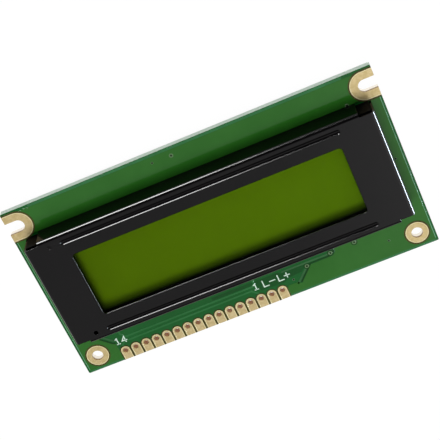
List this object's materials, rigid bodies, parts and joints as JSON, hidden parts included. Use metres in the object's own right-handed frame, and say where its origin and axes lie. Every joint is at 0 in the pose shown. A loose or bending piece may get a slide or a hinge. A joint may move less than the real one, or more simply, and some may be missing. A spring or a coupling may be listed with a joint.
{
  "type": "character lcd module",
  "caption": "Character LCD module with a green-yellow display in a folded black steel bezel on a green circuit board with edge contacts.",
  "frame": {"origin": "middle of the footprint, at the tips of the bezel's twisted tabs on which the module lies", "axes": "+Z out of the display, +X along the display's length towards the backlight contacts, +Y across it towards the open slots"},
  "size_m": [0.084, 0.044, 0.009],
  "materials": {
    "solder_mask_board": "green solder mask over glass epoxy laminate, satin gloss",
    "plated_lands": "pale gold tinned finish, dull",
    "bezel_black": "satin black coated steel sheet",
    "frame_black": "matt black moulded plastic",
    "polarizer_front": "olive green film, softly glossy",
    "glass_clear": "clear glass, polished",
    "seal_epoxy": "pale epoxy line",
    "polarizer_rear": "olive film with a mirror back",
    "film_white": "white diffusing film",
    "guide_clear": "clear acrylic, dotted below",
    "led_board_white": "white coated strip",
    "led_amber": "small moulded lamp bodies",
    "bright_pin": "tinned wire, bright",
    "solder": "solder, smooth and grey",
    "zebra_silicone": "pink silicone with a dark layered core",
    "die_silicon": "polished silicon",
    "epoxy_black": "black potting epoxy, satin",
    "resistor_black": "black glazed ceramic chips with tinned ends",
    "capacitor_tan": "tan ceramic chips with tinned ends"
  },
  "bodies": {
    "root": {"pcb": "solder_mask_board", "edge_contacts": "plated_lands", "mounting_lands": "plated_lands", "bezel": "bezel_black", "lcd_frame": "frame_black", "front_polarizer": "polarizer_front", "front_glass": "glass_clear", "cell_seal": "seal_epoxy", "rear_glass": "glass_clear", "rear_polarizer": "polarizer_rear", "diffuser_film": "film_white", "light_guide": "guide_clear", "reflector_film": "film_white", "led_board": "led_board_white", "backlight_leds": "led_amber", "backlight_pins": "bright_pin", "pin_solder": "solder", "zebra_strip_slot_side": "zebra_silicone", "zebra_strip_contact_side": "zebra_silicone", "controller_die": "die_silicon", "controller_epoxy": "epoxy_black", "driver_die": "die_silicon", "driver_epoxy": "epoxy_black", "chip_resistors": "resistor_black", "chip_capacitors": "capacitor_tan", "chip_solder": "solder"}
  },
  "joints": []
}
